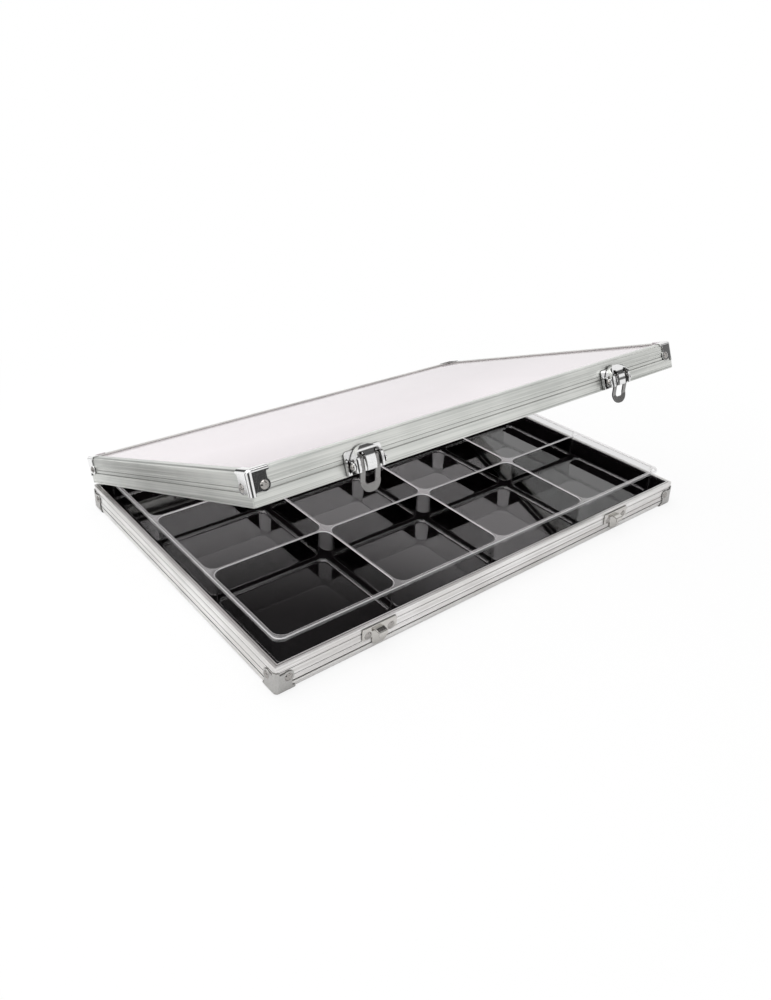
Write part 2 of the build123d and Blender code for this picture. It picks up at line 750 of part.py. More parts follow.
with BuildPart() as lever:
    add(lever_body(0, lever_heel_radius - pivot_depth, pivot_height - lever_heel_radius))
    # Rounded heel round the pivot
    with BuildSketch(Plane.YZ):
        with Locations((-pivot_depth, pivot_height)):
            Rectangle(lever_heel_radius, lever_heel_radius, align=(Align.MIN, Align.MAX))
            Circle(lever_heel_radius, mode=Mode.SUBTRACT)
    extrude(amount=lever_half_width, both=True, mode=Mode.SUBTRACT)
    # Hollow behind the sheet, open to the back and below
    add(lever_body(lever_sheet, lever_sheet, -lever_hollow_drop), mode=Mode.SUBTRACT)
    # Two arched slots let the straps of the loop swing out
    with BuildSketch(Plane.XZ):
        with Locations(((strap_inner + strap_outer) / 2, lever_slot_top)):
            RectangleRounded(
                loop_strap_width + 2 * lever_slot_gap, 2 * lever_slot_top, lever_slot_radius,
                align=(Align.CENTER, Align.MAX),
            )
        mirror(about=Plane.YZ)
    extrude(amount=2 * lever_belly_depth, mode=Mode.SUBTRACT)
    with BuildSketch(Plane.YZ):
        with Locations((-pivot_depth, pivot_height)):
            Circle(stub_hole)
        with Locations((-loop_pin_depth, loop_pin_height)):
            Circle(pin_hole)
    extrude(amount=lever_half_width, both=True, mode=Mode.SUBTRACT)

with BuildPart() as loop_pin:
    with BuildSketch(Plane.YZ):
        with Locations((-loop_pin_depth, loop_pin_height)):
            Circle(loop_pin_radius)
    extrude(amount=loop_pin_half_length, both=True)

# Height of the loop's bar, just under the hook when the case is latched
hook_slope = (hook_tip_drop - hook_root_drop) / (hook_reach - catch_sheet / 2)
hook_underside = hook_root_drop + hook_slope * (loop_bar_depth - catch_sheet / 2) + catch_sheet / 2
loop_seat = -(hook_underside + loop_seat_gap + parting_gap)
loop_bottom = loop_seat - loop_bar_height
eye_radius = loop_pin_radius + pin_fit + loop_sheet
strap_depth = eye_radius - loop_sheet / 2 + loop_pin_depth

with BuildPart() as loop:
    # Side view: a rolled eye and a bowed strap
    with BuildSketch(Plane.YZ):
        with BuildLine():
            FilletPolyline(
                (-strap_depth, loop_pin_height),
                (-loop_knee_depth, loop_knee_height),
                (-loop_bar_depth, loop_ankle_height),
                (-loop_bar_depth, loop_bottom),
                radius=loop_bend_radius,
            )
        trace(line_width=loop_sheet)
        with Locations((-loop_pin_depth, loop_pin_height)):
            Circle(eye_radius)
            Circle(pin_hole, mode=Mode.SUBTRACT)
    extrude(amount=strap_outer, both=True)
    # Front view: a U with a rounded foot
    with BuildSketch(Plane.XZ):
        loop_top = loop_pin_height + eye_radius
        with Locations((0, loop_bottom)):
            Rectangle(2 * strap_outer, loop_top - loop_bottom, align=(Align.CENTER, Align.MIN))
        fillet(vertices().group_by(Axis.Y)[0], loop_corner_radius)
        with Locations((0, loop_seat)):
            RectangleRounded(
                2 * strap_inner, 2 * (loop_top - loop_seat), loop_inner_radius,
                align=(Align.CENTER, Align.MIN), mode=Mode.SUBTRACT,
            )
    extrude(amount=2 * lever_belly_depth, mode=Mode.INTERSECT)

with BuildPart() as catch_plate:
    with BuildSketch(Plane.XZ):
        with Locations((0, -catch_top)):
            Rectangle(catch_width, catch_ear_bottom - catch_top, align=(Align.CENTER, Align.MAX))
        fillet(vertices(), catch_ear_radius)
        with Locations((0, -catch_top)):
            Rectangle(catch_lobe_width, catch_lobe_bottom - catch_top, align=(Align.CENTER, Align.MAX))
        fillet(vertices().group_by(Axis.Y)[0], catch_lobe_radius)
        with Locations(
            (-catch_rivet_spacing / 2, -catch_rivet_drop), (catch_rivet_spacing / 2, -catch_rivet_drop)
        ):
            Circle(small_hole, mode=Mode.SUBTRACT)
    extrude(amount=catch_sheet)
    # Hook: a tab bent down in front of the plate
    with BuildSketch(Plane.YZ):
        with BuildLine():
            FilletPolyline(
                (-catch_sheet / 2, -hook_root_drop),
                (-hook_reach, -hook_tip_drop),
                (-hook_reach, -hook_lip_bottom),
                radius=hook_bend_radius,
            )
        trace(line_width=catch_sheet)
    extrude(amount=hook_width / 2, both=True)

catch_rivet = rivet(
    catch_rivet_head, catch_rivet_head_height, small_shank_diameter / 2,
    catch_sheet + rail_wall + rivet_tail,
)
catch_rivet_places = [
    Location((end * catch_rivet_spacing / 2, -catch_sheet, -catch_rivet_drop), (90, 0, 0))
    for end in (-1, 1)
]

latch_spots = {}
catch_spots = {}
for hand, side_x in (("left", -1), ("right", 1)):
    latch_spots[hand] = Location((side_x * latch_spacing / 2, -half_depth, lid_bottom))
    catch_spots[hand] = Location((side_x * latch_spacing / 2, -half_depth, base_top))

for hand, place in latch_spots.items():
    save(latch_plate, f"latch_plate_{hand}", lid_tilt * place)
    save(rivet_set(stub_rivet.part, stub_places), f"latch_stub_rivets_{hand}", lid_tilt * place)
    save(lever, f"latch_lever_{hand}", lid_tilt * place)
    save(loop_pin, f"latch_loop_pin_{hand}", lid_tilt * place)
    save(loop, f"latch_loop_{hand}", lid_tilt * place)
    save(catch_plate, f"catch_plate_{hand}", catch_spots[hand])
spots = [place * spot for place in latch_spots.values() for spot in plate_rivet_places]
save(rivet_set(plate_rivet, spots), "latch_plate_rivets", lid_tilt)
spots = [place * spot for place in catch_spots.values() for spot in catch_rivet_places]
save(rivet_set(catch_rivet, spots), "catch_rivets")
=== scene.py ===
"""Looks of the mineral specimen box: an aluminium-framed display case with a clear hinged
lid, riveted corner caps, two draw latches and a formed tray of twelve compartments.

Everything is in metres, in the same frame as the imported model: the origin is the middle of
the underside, +X runs along the front, +Y to the back and +Z up. Pieces of the lid are
placed with the case closed and swung open by Leaf.swing.
"""

import logging
import math
from collections.abc import Callable
from dataclasses import dataclass, field
from enum import Enum
from functools import partial

import bmesh
import bpy
from bpy.types import Material, Mesh, Node, NodeOutputs, NodeSocket, NodeTree, Object
from mathutils import Matrix, Vector


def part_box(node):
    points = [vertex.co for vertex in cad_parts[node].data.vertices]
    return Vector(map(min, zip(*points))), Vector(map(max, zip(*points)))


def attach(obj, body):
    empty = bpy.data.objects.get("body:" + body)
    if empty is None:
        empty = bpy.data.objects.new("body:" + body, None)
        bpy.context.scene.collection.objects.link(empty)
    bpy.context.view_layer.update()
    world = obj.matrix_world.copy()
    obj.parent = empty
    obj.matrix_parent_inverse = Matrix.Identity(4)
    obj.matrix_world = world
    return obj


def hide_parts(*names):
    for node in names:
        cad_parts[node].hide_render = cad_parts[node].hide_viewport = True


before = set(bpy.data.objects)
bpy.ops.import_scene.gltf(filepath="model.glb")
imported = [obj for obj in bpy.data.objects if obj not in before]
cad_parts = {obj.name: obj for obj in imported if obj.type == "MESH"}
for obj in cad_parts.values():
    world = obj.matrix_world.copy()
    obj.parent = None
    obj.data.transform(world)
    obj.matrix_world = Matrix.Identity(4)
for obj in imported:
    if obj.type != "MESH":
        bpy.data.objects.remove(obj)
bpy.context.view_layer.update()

LOG = logging.getLogger("specimen_box")
MM = 0.001
LID_ANGLE = math.radians(20.9)
HINGE = Vector((0.0, 130.6, 18.8)) * MM
# Gap between the rails of the closed case.
PARTING = 0.4 * MM
WHITE = (1.0, 1.0, 1.0, 1.0)
SOCKET_KINDS = {
    "Geometry": "NodeSocketGeometry", int: "NodeSocketInt", bool: "NodeSocketBool",
    float: "NodeSocketFloat", Vector: "NodeSocketVector", Material: "NodeSocketMaterial",
}
# What adds a node to one tree: add_node with its first argument given.
Adder = Callable[..., Node]


class Hand(Enum):
    """The two ends of the case, as its latches and hinges are named."""

    LEFT = -1
    RIGHT = 1


class Grain(Enum):
    """Direction in which a rail was drawn through its die."""

    ALONG_FRONT = (1.0, 0.0, 0.0)
    ALONG_SIDE = (0.0, 1.0, 0.0)


class Leaf(Enum):
    """The half of the case that a piece belongs to, with how far it is swung open."""

    BASE = 0.0
    LID = LID_ANGLE

    @property
    def body(self) -> str:
        """Name of the moving body that this half is."""
        return self.name.lower()

    @property
    def swing(self) -> Matrix:
        """What takes this half from the closed case to where it stands."""
        there = Matrix.Translation(HINGE)
        return there @ Matrix.Rotation(-self.value, 4, "X") @ there.inverted()


# ---- small tools
def linear(colour: str) -> tuple[float, float, float, float]:
    """Turn an sRGB hex colour to the linear values that a shader takes.

    Args:
        colour: The colour, such as "#c8c9c4".

    Returns:
        Red, green, blue and an alpha of one.
    """
    channels = [int(colour[i : i + 2], 16) / 255 for i in (1, 3, 5)]
    straight = [c / 12.92 if c <= 0.04045 else ((c + 0.055) / 1.055) ** 2.4 for c in channels]
    return (*straight, 1.0)


def add_node(tree: NodeTree, kind: str, inputs: dict | None = None, **settings) -> Node:
    """Add one node with its settings, and its inputs set or linked.

    Args:
        tree: The tree that takes the node.
        kind: The node's type, such as "ShaderNodeTexNoise".
        inputs: For each input, by name or number, a value, an output socket, a node, which
            stands for its first output, or a list of such sources.
        **settings: Properties of the node itself.

    Returns:
        The new node.
    """
    node = tree.nodes.new(kind)
    for name, value in settings.items():
        setattr(node, name, value)
    for name, value in (inputs or {}).items():
        for source in value if isinstance(value, list) else [value]:
            if isinstance(source, Node):
                source = source.outputs[0]
            if isinstance(source, NodeSocket):
                tree.links.new(source, node.inputs[name])
            else:
                node.inputs[name].default_value = source
    return node


def new_material(name: str) -> tuple[Material, Adder, NodeSocket]:
    """Make a node material that has no shader yet.

    Args:
        name: The material's name.

    Returns:
        The material, what adds its nodes and a point's place on the object.
    """
    material = bpy.data.materials.new(name)
    material.use_nodes = True
    material.node_tree.nodes.clear()
    add = partial(add_node, material.node_tree)
    return material, add, add("ShaderNodeTexCoord").outputs["Object"]


def close_surface(
    add: Adder,
    share: Node,
    tones: tuple[str, str],
    relief: dict,
    shine: dict,
    soil: tuple[str, float] | None = None,
) -> None:
    """Finish the tree of an opaque material.

    Args:
        add: What adds nodes to the material.
        share: How far a point has the second tone.
        tones: Its two colours.
        relief: Inputs of its bump.
        shine: Inputs of its shader besides colour and relief.
        soil: Colour of the painted shade that ambient occlusion lays in grooves, seams and beside
            other parts, and how wide a hollow still counts as one.
    """
    tone = add(
        "ShaderNodeMix", {0: share, 6: linear(tones[0]), 7: linear(tones[1])}, data_type="RGBA"
    ).outputs[2]
    if soil:
        # Painted shade: the tone is darkened where ambient occlusion finds a groove, a seam or a
        # neighbouring part.
        hollow = add("ShaderNodeAmbientOcclusion", {"Distance": soil[1]}, samples=8)
        crevice_shaded = add(
            "ShaderNodeMapRange", {0: hollow.outputs["AO"], 1: 0.3, 2: 0.9, 3: 0.8, 4: 0.0}
        )
        tone = add(
            "ShaderNodeMix", {0: crevice_shaded, 6: tone, 7: linear(soil[0])}, data_type="RGBA"
        ).outputs[2]
    bump = add("ShaderNodeBump", relief)
    surface = add("ShaderNodeBsdfPrincipled", {"Base Color": tone, "Normal": bump, **shine})
    add("ShaderNodeOutputMaterial", {0: surface})


def dress(piece: Object, material: Material) -> None:
    """Give a piece one material in place of what it holds."""
    piece.data.materials.clear()
    piece.data.materials.append(material)


def new_piece(name: str, mesh: Mesh) -> Object:
    """Put a mesh in the scene as a piece at the origin.

    Args:
        name: Name of the piece.
        mesh: Its mesh.

    Returns:
        The piece.
    """
    piece = bpy.data.objects.new(name, mesh)
    bpy.context.scene.collection.objects.link(piece)
    return piece


def bake(piece: Object, crease: float | None = math.radians(35)) -> Object:
    """Turn a piece with live modifiers into one with a plain mesh, smooth but for its creases.

    Args:
        piece: The piece, which is used up.
        crease: Angle from which an edge stays sharp, or None to keep the shading as it is.

    Returns:
        The new piece, under the same name.
    """
    graph = bpy.context.evaluated_depsgraph_get()
    mesh = bpy.data.meshes.new_from_object(piece.evaluated_get(graph))
    name = piece.name
    bpy.data.objects.remove(piece)
    if crease is not None:
        mesh.shade_smooth()
        mesh.set_sharp_from_angle(angle=crease)
    return new_piece(name, mesh)


def keep_flats(piece: Object) -> None:
    """Let flats keep their own direction beside a bend, so that they mirror as flats.

    Args:
        piece: The piece, which gets a live modifier.
    """
    flats = piece.modifiers.new("flats", "WEIGHTED_NORMAL")
    flats.weight = 100
    flats.keep_sharp = True


def turn_faces(piece: Object, upward: bool = False) -> None:
    """Turn a piece's faces outward on closed shells, or all one way on an open sheet.

    Args:
        piece: The piece.
        upward: Whether it is a sheet, whose largest face then looks up.
    """
    shell = bmesh.new()
    shell.from_mesh(piece.data)
    bmesh.ops.recalc_face_normals(shell, faces=shell.faces)
    if upward and max(shell.faces, key=lambda face: face.calc_area()).normal.z < 0:
        bmesh.ops.reverse_faces(shell, faces=shell.faces)
    shell.to_mesh(piece.data)
    shell.free()


def new_shape(name: str, sizes: dict[str, type | str]) -> tuple[NodeTree, Adder, NodeOutputs]:
    """Make an empty Geometry Nodes tree with named inputs.

    Args:
        name: The tree's name.
        sizes: Each input's name and the kind of value that it takes.

    Returns:
        The tree, what adds its nodes and its named inputs.
    """
    tree = bpy.data.node_groups.new(name, "GeometryNodeTree")
    for label, kind in sizes.items():
        tree.interface.new_socket(label, in_out="INPUT", socket_type=SOCKET_KINDS[kind])
    tree.interface.new_socket("Geometry", in_out="OUTPUT", socket_type=SOCKET_KINDS["Geometry"])
    add = partial(add_node, tree)
    return tree, add, add("NodeGroupInput").outputs


def close_shape(add: Adder, shape: Node, sockets: NodeOutputs) -> None:
    """End a shape's tree with real geometry in the piece's material.

    Args:
        add: What adds nodes to the tree.
        shape: What it has made.
        sockets: Its named inputs.
    """
    real = add("GeometryNodeRealizeInstances", {0: shape})
    dressed = add("GeometryNodeSetMaterial", {0: real, "Material": sockets["Material"]})
    add("NodeGroupOutput", {0: dressed})


def grow(name: str, tree: NodeTree, values: dict, seed: Mesh | None = None) -> Object:
    """Run a Geometry Nodes tree and keep what it makes as a plain mesh.

    Args:
        name: Name of the piece.
        tree: The tree to run.
        values: The value of each named input.
        seed: Mesh that the tree starts from.

    Returns:
        The finished piece.
    """
    piece = new_piece(name, seed or bpy.data.meshes.new(name))
    modifier = piece.modifiers.new(tree.name, "NODES")
    modifier.node_group = tree
    for socket in tree.interface.items_tree:
        if socket.in_out == "INPUT" and socket.name in values:
            value = values[socket.name]
            modifier[socket.identifier] = tuple(value) if isinstance(value, Vector) else value
    piece = bake(piece)
    dress(piece, values["Material"])
    return piece


# ---- finishes
@dataclass(frozen=True)
class DrawnAluminium:
    """Satin-anodised aluminium extrusion, as on the rails.

    Etching before the anodising leaves a soft, wide shine, with faint lines of the die along
    the bar.
    """

    name: str
    grain: Grain
    leaf: Leaf
    tone: str
    low_tone: str
    # Colour and reach of the painted shade in grooves and beside other parts.
    soil: tuple[str, float] = ("#3f3d3a", 1.2 * MM)
    roughness: tuple[float, float] = (0.28, 0.42)
    # Real die lines are about 0.1 mm apart; they are drawn 0.9 mm apart to show at all.
    line_spacing: float = 0.9 * MM
    line_length: float = 220 * MM
    line_height: float = 0.02 * MM
    patch_size: float = 40 * MM

    def build(self) -> Material:
        """Build the material.

        Returns:
            The material.
        """
        material, add, place = new_material(self.name)
        # Turned back with the closed lid, so that the lines follow the bar.
        squared = add("ShaderNodeMapping", {0: place, "Rotation": (self.leaf.value, 0, 0)})
        stretch = tuple(
            1 / self.line_length if along else 1 / self.line_spacing for along in self.grain.value
        )
        drawn = add("ShaderNodeMapping", {0: squared, "Scale": stretch})
        lines = add(
            "ShaderNodeTexNoise", {0: drawn, "Scale": 1.0, "Detail": 3.0, "Roughness": 0.65}
        )
        patches = add(
            "ShaderNodeTexNoise", {0: squared, "Scale": 1 / self.patch_size, "Detail": 2.0}
        )
        both = add("ShaderNodeMath", {0: lines, 1: 2.0, 2: patches}, operation="MULTIPLY_ADD")
        share = add("ShaderNodeMapRange", {0: both, 1: 1.25, 2: 1.75})
        smooth, rough = self.roughness
        shine = add("ShaderNodeMapRange", {0: lines, 1: 0.3, 2: 0.7, 3: smooth, 4: rough})
        close_surface(
            add, share, (self.low_tone, self.tone),
            {"Strength": 0.15, "Distance": self.line_height, "Height": lines},
            {"Metallic": 1.0, "Roughness": shine}, self.soil,
        )
        return material


@dataclass(frozen=True)
class PlatedSteel:
    """Pressed or turned steel under a thin plating.

    Plating copies the sheet below it, so a bright one mirrors the room with a faint ripple
    and fine handling marks, and a matt one only spreads the light.
    """

    name: str
    tone: str
    worn_tone: str
    roughness: tuple[float, float]
    # Colour and reach of the painted shade in grooves and beside other parts.
    soil: tuple[str, float] = ("#2c2a28", 1.6 * MM)
    ripple: float = 0.1
    ripple_size: float = 5 * MM
    ripple_height: float = 0.04 * MM
    mark_size: float = 0.6 * MM

    def build(self) -> Material:
        """Build the material.

        Returns:
            The material.
        """
        material, add, place = new_material(self.name)
        marks = add(
            "ShaderNodeTexNoise",
            {0: place, "Scale": 1 / self.mark_size, "Detail": 3.0, "Roughness": 0.6},
        )
        swell = add("ShaderNodeTexNoise", {0: place, "Scale": 1 / self.ripple_size, "Detail": 1.0})
        worn = add("ShaderNodeMapRange", {0: marks, 1: 0.45, 2: 0.75})
        smooth, rough = self.roughness
        shine = add("ShaderNodeMapRange", {0: marks, 1: 0.35, 2: 0.7, 3: smooth, 4: rough})
        close_surface(
            add, worn, (self.tone, self.worn_tone),
            {"Strength": self.ripple, "Distance": self.ripple_height, "Height": swell},
            {"Metallic": 1.0, "Roughness": shine}, self.soil,
        )
        return material


@dataclass(frozen=True)
class ClearSheet:
    """Clear plastic sheet, seen through with a mirror-like shine at a low angle.

    Both faces of the sheet mirror, so the share is worked out for the two together on the face that
    is met first, and the far face only lets the light out. A thin film of dust turns it milky at
    the lowest angles, and a formed fold is painted whiter with the same film, as a painted
    highlight for the light that a bend in the sheet catches.
    """

    name: str
    tint: str
    film: str
    index: float
    roughness: float
    wave_size: float
    milky_from: float
    milky_share: float
    # Share of white film on the folds, which is a painted highlight.
    fold_share: float = 0.0
    milky_to: float = 0.87
    wave: float = 0.03
    wave_height: float = 0.05 * MM

    def build(self) -> Material:
        """Build the material.

        Returns:
            The material.
        """
        material, add, place = new_material(self.name)
        swell = add("ShaderNodeTexNoise", {0: place, "Scale": 1 / self.wave_size, "Detail": 1.5})
        bump = add(
            "ShaderNodeBump", {"Strength": self.wave, "Distance": self.wave_height, "Height": swell}
        )
        one_face = add("ShaderNodeFresnel", {"IOR": self.index, "Normal": bump})
        twice = add("ShaderNodeMath", {0: one_face, 1: 2.0}, operation="MULTIPLY")
        plus_one = add("ShaderNodeMath", {0: one_face, 1: 1.0}, operation="ADD")
        slab = add("ShaderNodeMath", {0: twice, 1: plus_one}, operation="DIVIDE")
        back = add("ShaderNodeNewGeometry").outputs["Backfacing"]
        front = add("ShaderNodeMath", {0: 1.0, 1: back}, operation="SUBTRACT")
        # Seen in a mirror the sheet doesn't mirror again, which would only add grain.
        glossy = add("ShaderNodeLightPath").outputs["Is Glossy Ray"]
        first = add("ShaderNodeMath", {0: front, 1: glossy}, operation="SUBTRACT", use_clamp=True)
        mirror = add("ShaderNodeMath", {0: slab, 1: first}, operation="MULTIPLY")
        low_angle = add("ShaderNodeLayerWeight", {"Blend": 0.5}).outputs["Facing"]
        milky = add(
            "ShaderNodeMapRange",
            {0: low_angle, 1: self.milky_from, 2: self.milky_to, 3: 0.0, 4: self.milky_share},
        )
        # Painted highlight: the folds that the tray marks get the white film.
        fold = add("ShaderNodeAttribute", attribute_name="fold").outputs["Fac"]
        fold_highlight = add("ShaderNodeMath", {0: fold, 1: self.fold_share}, operation="MULTIPLY")
        film_share = add("ShaderNodeMath", {0: milky, 1: fold_highlight}, operation="MAXIMUM")
        one_side = add("ShaderNodeMath", {0: film_share, 1: front}, operation="MULTIPLY")
        clear = add("ShaderNodeBsdfTransparent", {0: linear(self.tint)})
        film = add("ShaderNodeBsdfDiffuse", {0: linear(self.film)})
        body = add("ShaderNodeMixShader", {0: one_side, 1: clear, 2: film})
        shine = add("ShaderNodeBsdfGlossy", {"Roughness": self.roughness, "Normal": bump})
        sheet = add("ShaderNodeMixShader", {0: mirror, 1: body, 2: shine})
        add("ShaderNodeOutputMaterial", {0: sheet})
        return material


@dataclass(frozen=True)
class BlackLining:
    """Black laid paper over board: dull, with a faint tooth and a little lint."""

    name: str = "black lining paper"
    tone: str = "#0f0d0e"
    lint_tone: str = "#1b1819"
    tooth_size: float = 0.5 * MM
    tooth_height: float = 0.04 * MM

    def build(self) -> Material:
        """Build the material.

        Returns:
            The material.
        """
        material, add, place = new_material(self.name)
        tooth = add(
            "ShaderNodeTexNoise",
            {0: place, "Scale": 1 / self.tooth_size, "Detail": 4.0, "Roughness": 0.7},
        )
        lint = add("ShaderNodeMapRange", {0: tooth, 1: 0.55, 2: 0.8})
        close_surface(
            add, lint, (self.tone, self.lint_tone),
            {"Strength": 0.2, "Distance": self.tooth_height, "Height": tooth},
            {"Roughness": 0.9, "Specular IOR Level": 0.02},
        )
        return material


@dataclass(frozen=True)
class StainedHardboard:
    """Black-stained hardboard of the base, with the screen pattern of its rough face."""

    name: str = "black stained hardboard"
    tone: str = "#1d1a18"
    high_tone: str = "#332e2a"
    screen_pitch: float = 1.6 * MM
    screen_height: float = 0.2 * MM
    fibre_size: float = 1.4 * MM

    def build(self) -> Material:
        """Build the material.

        Returns:
            The material.
        """
        material, add, place = new_material(self.name)
        across, down = (
            add(
                "ShaderNodeTexWave", {0: place, "Scale": 0.5 / self.screen_pitch},
                bands_direction=direction,
            ).outputs[1]
            for direction in ("X", "Y")
        )
        screen = add("ShaderNodeMath", {0: across, 1: down}, operation="MULTIPLY")
        fibre = add("ShaderNodeTexNoise", {0: place, "Scale": 1 / self.fibre_size, "Detail": 4.0})
        both = add("ShaderNodeMath", {0: screen, 1: fibre}, operation="MULTIPLY")
        close_surface(
            add, both, (self.tone, self.high_tone),
            {"Strength": 0.5, "Distance": self.screen_height, "Height": both}, {"Roughness": 0.7},
        )
        return material


def built(recipe: PlatedSteel | ClearSheet | BlackLining | StainedHardboard) -> Material:
    """Declare a finish that is built together with the others."""
    return field(default_factory=recipe.build)


@dataclass
class Finishes:
    """One material of each kind, shared by the pieces that are made of it."""

    chrome: Material = built(PlatedSteel("bright chrome plate", "#ebebeb", "#d9d9d9", (0.04, 0.12)))
    nickel: Material = built(PlatedSteel("dull nickel plate", "#929190", "#807f7e", (0.12, 0.24)))
    zinc: Material = built(PlatedSteel("bright zinc plate", "#cbc9c5", "#b9b7b3", (0.08, 0.18)))
    satin: Material = built(PlatedSteel("satin nickel plate", "#b9b8b6", "#a8a7a5", (0.3, 0.46)))
    rivet: Material = built(PlatedSteel("rivet steel", "#a5a29f", "#8b8885", (0.1, 0.2)))
    panel: Material = built(
        ClearSheet(
            "clear acrylic sheet", "#fdfbfc", "#f8ebf1", index=1.49, roughness=0.0,
            wave_size=60 * MM, milky_from=0.75, milky_share=0.95,
        )
    )
    formed: Material = built(
        ClearSheet(
            "formed polystyrene", "#f8f8f8", "#f4f2f3", index=1.59, roughness=0.02,
            wave_size=14 * MM, milky_from=0.8, milky_share=0.3, fold_share=0.7,
        )
    )
    lining: Material = built(BlackLining())
    board: Material = built(StainedHardboard())

    def rail(self, leaf: Leaf, grain: Grain) -> Material:
        """Aluminium of the rails of one half that run in one direction.

        Args:
            leaf: The base, or the lid.
            grain: Direction of the rail.

        Returns:
            The material, built when it is first asked for.
        """
        name = f"anodised aluminium {leaf.body} {grain.name.lower().replace('_', ' ')}"
        # Painted light: base and lid rails are one extrusion, and the base's tones are painted
        # lighter for the light thrown up from the floor, the lid's darker and greener for the room
        # it mirrors.
        tones = {Leaf.BASE: ("#f2f1f0", "#d5d3d1"), Leaf.LID: ("#e3e4e0", "#c9cbc7")}[leaf]
        return bpy.data.materials.get(name) or DrawnAluminium(name, grain, leaf, *tones).build()


# ---- the rivets
@dataclass(frozen=True)
class Rivet:
    """Sizes of one rivet, with its head seated at zero and its shank below."""

    head_radius: float
    head_height: float
    shank_radius: float
    shank_length: float
    domed: bool = True


@dataclass
class RivetSetter:
    """Makes every rivet of the case from one Geometry Nodes tree.

    The section of a rivet is swept round a small ring, the rings are closed at the axis, and
    a copy goes to each vertex of the seed mesh, turned to its "axis" attribute.
    """

    material: Material
    ring_radius: float = 1.0 * MM
    weld: float = 0.005 * MM
    steps_round: int = 32
    steps_over_head: int = 9
    tree: NodeTree = field(init=False)

    def __post_init__(self) -> None:
        """Build the tree."""
        points = (
            "Head Top", "Head Shoulder", "Head Edge", "Head Rim", "Shank Root", "Shank End",
            "Shank Middle",
        )
        sizes = {
            "Spots": "Geometry", **dict.fromkeys(points, Vector), "Domed": bool,
            "Ring Radius": float, "Steps Round": int, "Steps Over Head": int, "Material": Material,
        }
        self.tree, add, sockets = new_shape("rivets", sizes)
        dome = add(
            "GeometryNodeCurveArc",
            {
                "Resolution": sockets["Steps Over Head"], "Start": sockets["Head Top"],
                "Middle": sockets["Head Shoulder"], "End": sockets["Head Rim"],
            },
            mode="POINTS",
        )
        # The head and the shank share the point at the head's rim.
        bevelled, shank = (
            add(
                "GeometryNodeCurvePrimitiveQuadrilateral",
                {f"Point {i}": sockets[point] for i, point in enumerate(line, 1)}, mode="POINTS",
            )
            for line in (points[:4], points[3:])
        )
        head = add(
            "GeometryNodeSwitch",
            {"Switch": sockets["Domed"], "False": bevelled, "True": dome}, input_type="GEOMETRY",
        )
        section = add("GeometryNodeJoinGeometry", {0: [shank, head]})
        opened = add("GeometryNodeSetSplineCyclic", {0: section, "Cyclic": False})
        ring = add(
            "GeometryNodeCurvePrimitiveCircle",
            {"Resolution": sockets["Steps Round"], "Radius": sockets["Ring Radius"]},
        )
        upright = add("GeometryNodeSetCurveNormal", {0: ring}, mode="Z_UP")
        turned = add("GeometryNodeCurveToMesh", {0: upright, 1: opened})
        closed = add("GeometryNodeMergeByDistance", {0: turned, "Distance": self.weld})
        axis = add("GeometryNodeInputNamedAttribute", {"Name": "axis"}, data_type="FLOAT_VECTOR")
        turn = add("FunctionNodeAlignRotationToVector", {"Vector": axis}, axis="Z")
        copies = add(
            "GeometryNodeInstanceOnPoints",
            {"Points": sockets["Spots"], "Instance": closed, "Rotation": turn},
        )
        close_shape(add, copies, sockets)

    def set(
        self, rivet: Rivet, leaf: Leaf, spots: list[tuple[Vector, Vector]], node: str
    ) -> None:
        """Set one group of equal rivets.

        Args:
            rivet: Their sizes.
            leaf: The half that they are in.
            spots: Place under the head and outward direction of each, with the case closed.
            node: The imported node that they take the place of.
        """
        seed = bpy.data.meshes.new(node)
        seed.from_pydata([leaf.swing @ place for place, _ in spots], [], [])
        axes = seed.attributes.new("axis", "FLOAT_VECTOR", "POINT")
        for value, (_, outward) in zip(axes.data, spots):
            value.vector = leaf.swing.to_3x3() @ outward

        def at(radius: float, height: float) -> Vector:
            """Point of the section, whose x runs outward from the ring and y downward."""
            return Vector((radius - self.ring_radius, -height, 0))

        bevel = rivet.head_height / 2
        dome = (rivet.head_radius**2 + rivet.head_height**2) / (2 * rivet.head_height)
        half = math.asin(rivet.head_radius / dome) / 2
        on_dome = at(dome * math.sin(half), dome * math.cos(half) - dome + rivet.head_height)
        on_bevel = at(rivet.head_radius - bevel, rivet.head_height)
        values = {
            "Head Top": at(0, rivet.head_height),
            "Head Shoulder": on_dome if rivet.domed else on_bevel,
            "Head Edge": at(rivet.head_radius, rivet.head_height - bevel),
            "Head Rim": at(rivet.head_radius, 0),
            "Shank Root": at(rivet.shank_radius, 0),
            "Shank End": at(rivet.shank_radius, -rivet.shank_length),
            "Shank Middle": at(0, -rivet.shank_length),
            "Domed": rivet.domed, "Ring Radius": self.ring_radius, "Steps Round": self.steps_round,
            "Steps Over Head": self.steps_over_head, "Material": self.material,
        }
        piece = grow(node + "_turned", self.tree, values, seed)
        turn_faces(piece)
        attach(piece, leaf.body)
        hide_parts(node)
        LOG.info("%s: %d rivets", node, len(spots))


